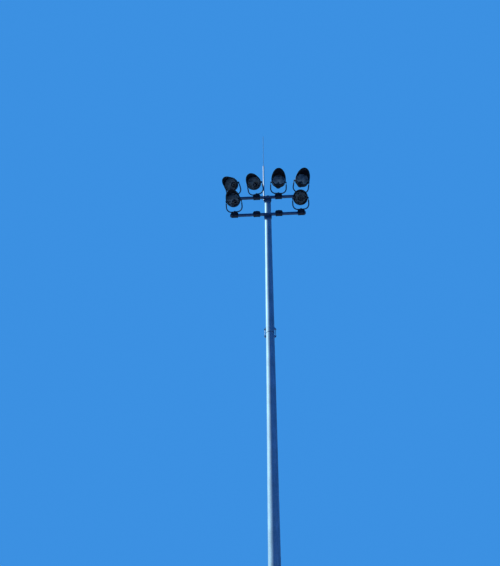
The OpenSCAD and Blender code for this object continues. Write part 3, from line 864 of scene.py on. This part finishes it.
class TOWER_OT_mast(Operator):
    """Adds the mast's welds, seam, sealant, cap screws, handhole screws and earth boss"""

    bl_idname = "tower.mast"
    bl_label = "Mast"

    def execute(self, context):
        steel = context.scene.tower_steel
        grow("mast_welds", TREES["bead"], "weld", "mast", seed=paths(mast_welds()),
             sizes={"Width": steel.weld, "Ripple": 0.12, "Step": 0.004})
        behind = Vector((math.sin(0.3), math.cos(0.3), 0))
        seams = [([behind * (radius(z) + 0.0005) + Vector((0, 0, z)) for z in heights], False)
                 for radius, heights in ((lower_radius, (0.06, SPLICE - 0.005)),
                                         (upper_radius, (SPLICE + 0.01, MAST_TOP - 0.05)))]
        grow("mast_seam", TREES["bead"], "weld", "mast", seed=paths(seams),
             sizes={"Width": steel.seam, "Ripple": 0.0, "Step": 0.5})
        grow("splice_sealant", TREES["bead"], "gasket", "mast",
             seed=paths([round_the_mast(lower_radius(SPLICE) + 0.003, SPLICE)]),
             sizes={"Width": 0.009, "Ripple": 0.04, "Step": 0.02})
        skirt = upper_radius(MAST_TOP - 0.04) + 0.0043
        screw = round_head(0.0085, 0.006)
        screw.transform(Matrix.Translation((0, 0, MAST_TOP - 0.02)) @ Matrix.Rotation(math.pi / 2, 4, "Y"))
        grow("cap_screws", TREES["ring"], "zinc_bolt", "mast", piece=screw,
             sizes=in_ring(6, skirt, math.pi / 6))
        front = -(lower_radius(HANDHOLE_AT) + 0.017)
        holes = [(x, z) for x in (-0.066, 0.066) for z in (-0.07, 0.07)] + [(0, -0.156), (0, 0.156)]
        fasten("handhole_screws", round_head(0.008, 0.006),
               [((x, front, HANDHOLE_AT + z), (0, -1, 0)) for x, z in holes])
        self.earth_boss()
        return {"FINISHED"}

    def earth_boss(self):
        """A welded boss with a stud, nuts and washers, beside the foot of the mast."""
        place = (Matrix.Rotation(math.radians(-62), 4, "Z")
                 @ Matrix.Translation((lower_radius(EARTH_BOSS_AT), 0, EARTH_BOSS_AT))
                 @ Matrix.Rotation(math.pi / 2, 4, "Y"))
        shape = bmesh.new()
        slab(shape, [(-0.03, -0.02), (0.03, -0.02), (0.03, 0.02), (-0.03, 0.02)], -0.006, 0.012, place)
        keep("earth_boss", mesh_of(shape, "boss"), "galvanised_steel", "mast", 0.0015)
        stud = bmesh.new()
        lathe(stud, [(0, 0.010), (0.0058, 0.010), (0.0058, 0.040), (0.0048, 0.042), (0, 0.042)], 14, place)
        lathe(stud, [(0, 0.012), (0.013, 0.012), (0.013, 0.0145), (0, 0.0145)], 20, place)
        lathe(stud, [(0, 0.0145), (0.0105, 0.0145), (0.0105, 0.0235), (0, 0.0245)], 6, place, False)
        lathe(stud, [(0, 0.0250), (0.013, 0.0250), (0.013, 0.0272), (0, 0.0272)], 20, place)
        lathe(stud, [(0, 0.0272), (0.0105, 0.0272), (0.0105, 0.0350), (0, 0.0360)], 6, place, False)
        keep("earth_stud", mesh_of(stud, "stud"), "zinc_bolt", "mast")


class TOWER_OT_crossarms(Operator):
    """Bolts the crossarms to their brackets and welds on their end caps"""

    bl_idname = "tower.crossarms"
    bl_label = "Crossarms"

    def execute(self, context):
        at = context.scene.tower_steel.arm_bolt
        front, back = -(ARM_FORWARD + ARM_HALF), -(ARM_FORWARD - ARM_HALF) + 0.012
        plates = bmesh.new()
        heads, nuts, loops = [], [], []
        for height in ARM_HEIGHTS:
            for side in (-1, 1):
                bar(plates, (side * at - 0.030, front - 0.008, height - 0.040),
                    (side * at + 0.030, front - 0.0002, height + 0.040))
                for z in (-0.017, 0.017):
                    heads.append(((side * at, front - 0.008, height + z), (0, -1, 0)))
                    nuts.append(((side * at, back, height + z), (0, 1, 0)))
                x = side * ARM_END
                loops.append(([Vector((x, -ARM_FORWARD + y, height + z)) for y, z in
                               ((-ARM_HALF, -ARM_HALF), (ARM_HALF, -ARM_HALF), (ARM_HALF, ARM_HALF),
                                (-ARM_HALF, ARM_HALF))], True))
        keep("arm_washers", mesh_of(plates, "plates"), "crossarm_steel", "mast", 0.001)
        fasten("arm_bolt_heads", hex_head(0.0125, 0.009, 0.0150), heads)
        fasten("arm_bolt_nuts", hex_head(0.0125, 0.011, 0.0150), nuts)
        grow("end_cap_welds", TREES["bead"], "arm_weld", "mast", seed=paths(loops),
             sizes={"Width": 0.006, "Ripple": 0.15, "Step": 0.003})
        return {"FINISHED"}


class TOWER_OT_castings(Operator):
    """Adds the casting's parting lines to the mounting blocks"""

    bl_idname = "tower.castings"
    bl_label = "Castings"

    def execute(self, context):
        lines = []
        for height in ARM_HEIGHTS:
            for i in range(4):
                middle = Vector(((i - 1.5) * LAMP_PITCH, -ARM_FORWARD, height))
                for side in (-1, 1):
                    lines.append(([middle + Vector((side * x, 0, z)) for x, z in
                                   ((0.150, 0.003), (0.150, 0.066), (0.104, 0.132), (0.082, 0.132))], False))
        grow("parting_lines", TREES["bead"], "cast_block", "mast", seed=paths(lines),
             sizes={"Width": 0.003, "Ripple": 0.1, "Step": 0.01})
        return {"FINISHED"}


class TOWER_OT_lightning(Operator):
    """Adds the clamp bolts and the set screws of the lightning tube"""

    bl_idname = "tower.lightning"
    bl_label = "Lightning tube"

    def execute(self, context):
        low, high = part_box("lightning_rod")
        x = (low.x + high.x) / 2
        bolts = [((x + 0.046, side * 0.024, z), (0, side, 0)) for z in TUBE_CLAMPS_AT for side in (-1, 1)]
        fasten("clamp_bolts", hex_head(0.0085, 0.006, 0.0105), bolts)
        ways = [Vector((math.cos(a), math.sin(a), 0)) for a in (math.radians(30 + 120 * i) for i in range(3))]
        screws = [((x + 0.0275 * way.x, 0.0275 * way.y, ROD_SCREWS_AT), way) for way in ways]
        fasten("rod_set_screws", round_head(0.005, 0.005), screws)
        return {"FINISHED"}


# Stage

def ray_seen_colour(tree, seen, lit, out):
    """Shows one colour to the camera, reflections and glass, and lights the object with another."""
    path = add(tree, "ShaderNodeLightPath")
    most = add(tree, "ShaderNodeMath", {0: path.outputs["Is Camera Ray"], 1: path.outputs["Is Glossy Ray"]},
               operation="MAXIMUM")
    more = add(tree, "ShaderNodeMath", {0: most.outputs[0], 1: path.outputs["Is Transmission Ray"]},
               operation="MAXIMUM")
    mix = add(tree, "ShaderNodeMixShader", {0: more.outputs[0], 1: lit.outputs[0], 2: seen.outputs[0]})
    tree.links.new(mix.outputs[0], out)


def make_world(colours, light):
    """Plain backdrop all round, and a softer light from it on the object."""
    world = bpy.data.worlds.new("Studio")
    bpy.context.scene.world = world
    world.use_nodes = True
    tree = world.node_tree
    lit = tree.nodes["Background"]
    lit.inputs["Color"].default_value = (*light.open_shade, 1.0)
    seen = add(tree, "ShaderNodeBackground", {"Color": (*colours.backdrop, 1.0)})
    ray_seen_colour(tree, seen, lit, tree.nodes["World Output"].inputs["Surface"])


def make_floor(colours):
    """A wide pale floor under the tower, which lights the object less than it shows."""
    bpy.ops.mesh.primitive_plane_add(size=6000.0)
    floor = bpy.context.object
    floor.name = "studio_floor"
    material, tree, shader, _ = new_material("Studio floor")
    shader.inputs["Base Color"].default_value = (*colours.floor, 1.0)
    shader.inputs["Roughness"].default_value = 0.9
    dim = add(tree, "ShaderNodeBsdfDiffuse", {"Color": FLOOR_RETURN})
    ray_seen_colour(tree, shader, dim, tree.nodes["Material Output"].inputs["Surface"])
    floor.data.materials.append(material)


def add_sun(name, strength, angle, elevation, azimuth, tint):
    """A distant soft lamp. Azimuth 0 is behind the camera, and it turns to the camera's left."""
    data = bpy.data.lights.new(name, "SUN")
    data.energy = strength
    data.angle = angle
    data.color = tint
    lamp = bpy.data.objects.new(name, data)
    bpy.context.collection.objects.link(lamp)
    towards = Vector((-math.sin(azimuth) * math.cos(elevation), -math.cos(azimuth) * math.cos(elevation),
                      math.sin(elevation)))
    lamp.rotation_euler = towards.to_track_quat("Z", "Y").to_euler()


def make_camera(view):
    """The camera at eye height in front of the tower, looking up at its head."""
    data = bpy.data.cameras.new("Camera")
    data.lens = view.lens
    data.sensor_width = 36.0
    data.clip_end = 5000.0
    camera = bpy.data.objects.new("Camera", data)
    bpy.context.collection.objects.link(camera)
    turn = (Matrix.Rotation(view.heading, 4, "Z") @ Matrix.Rotation(math.pi / 2 + view.pitch, 4, "X")
            @ Matrix.Rotation(view.roll, 4, "Z"))
    camera.matrix_world = Matrix.Translation(Vector(view.spot)) @ turn
    bpy.context.scene.camera = camera


class TOWER_OT_stage(Operator):
    """Adds the studio: floor, backdrop, lamps and camera"""

    bl_idname = "tower.stage"
    bl_label = "Studio"

    def execute(self, context):
        colours, light = context.scene.tower_colours, context.scene.tower_light
        make_world(colours, light)
        make_floor(colours)
        add_sun("Key lamp", light.strength, light.softness, light.height, light.side, KEY_TINT)
        add_sun("Fill lamp", strength=0.08, angle=math.radians(60), elevation=math.radians(15),
                azimuth=math.radians(-30), tint=FILL_TINT)
        make_camera(context.scene.tower_camera)
        context.scene.view_settings.view_transform = "Standard"
        return {"FINISHED"}


class TOWER_PT_panel(Panel):
    """Lists the tower's steps in the sidebar"""

    bl_label = "Floodlight tower"
    bl_idname = "TOWER_PT_panel"
    bl_space_type = "VIEW_3D"
    bl_region_type = "UI"
    bl_category = "Tower"

    def draw(self, context):
        for step in STEPS:
            self.layout.operator(step.bl_idname)


GROUPS = {"tower_colours": TowerColours, "tower_heads": TowerHeads, "tower_steel": TowerSteel,
          "tower_light": TowerLight, "tower_camera": TowerCamera}
STEPS = (TOWER_OT_finish, TOWER_OT_reflectors, TOWER_OT_rings, TOWER_OT_visors, TOWER_OT_housings,
         TOWER_OT_yokes, TOWER_OT_aiming, TOWER_OT_mast, TOWER_OT_crossarms, TOWER_OT_castings,
         TOWER_OT_lightning, TOWER_OT_stage)


def register():
    for item in (*GROUPS.values(), *STEPS, TOWER_PT_panel):
        bpy.utils.register_class(item)
    for name, group in GROUPS.items():
        setattr(bpy.types.Scene, name, PointerProperty(type=group))


def unregister():
    for name in GROUPS:
        delattr(bpy.types.Scene, name)
    for item in reversed((*GROUPS.values(), *STEPS, TOWER_PT_panel)):
        bpy.utils.unregister_class(item)


def main():
    register()
    for step in STEPS:
        group, action = step.bl_idname.split(".")
        getattr(getattr(bpy.ops, group), action)()


if __name__ == "__main__":
    main()
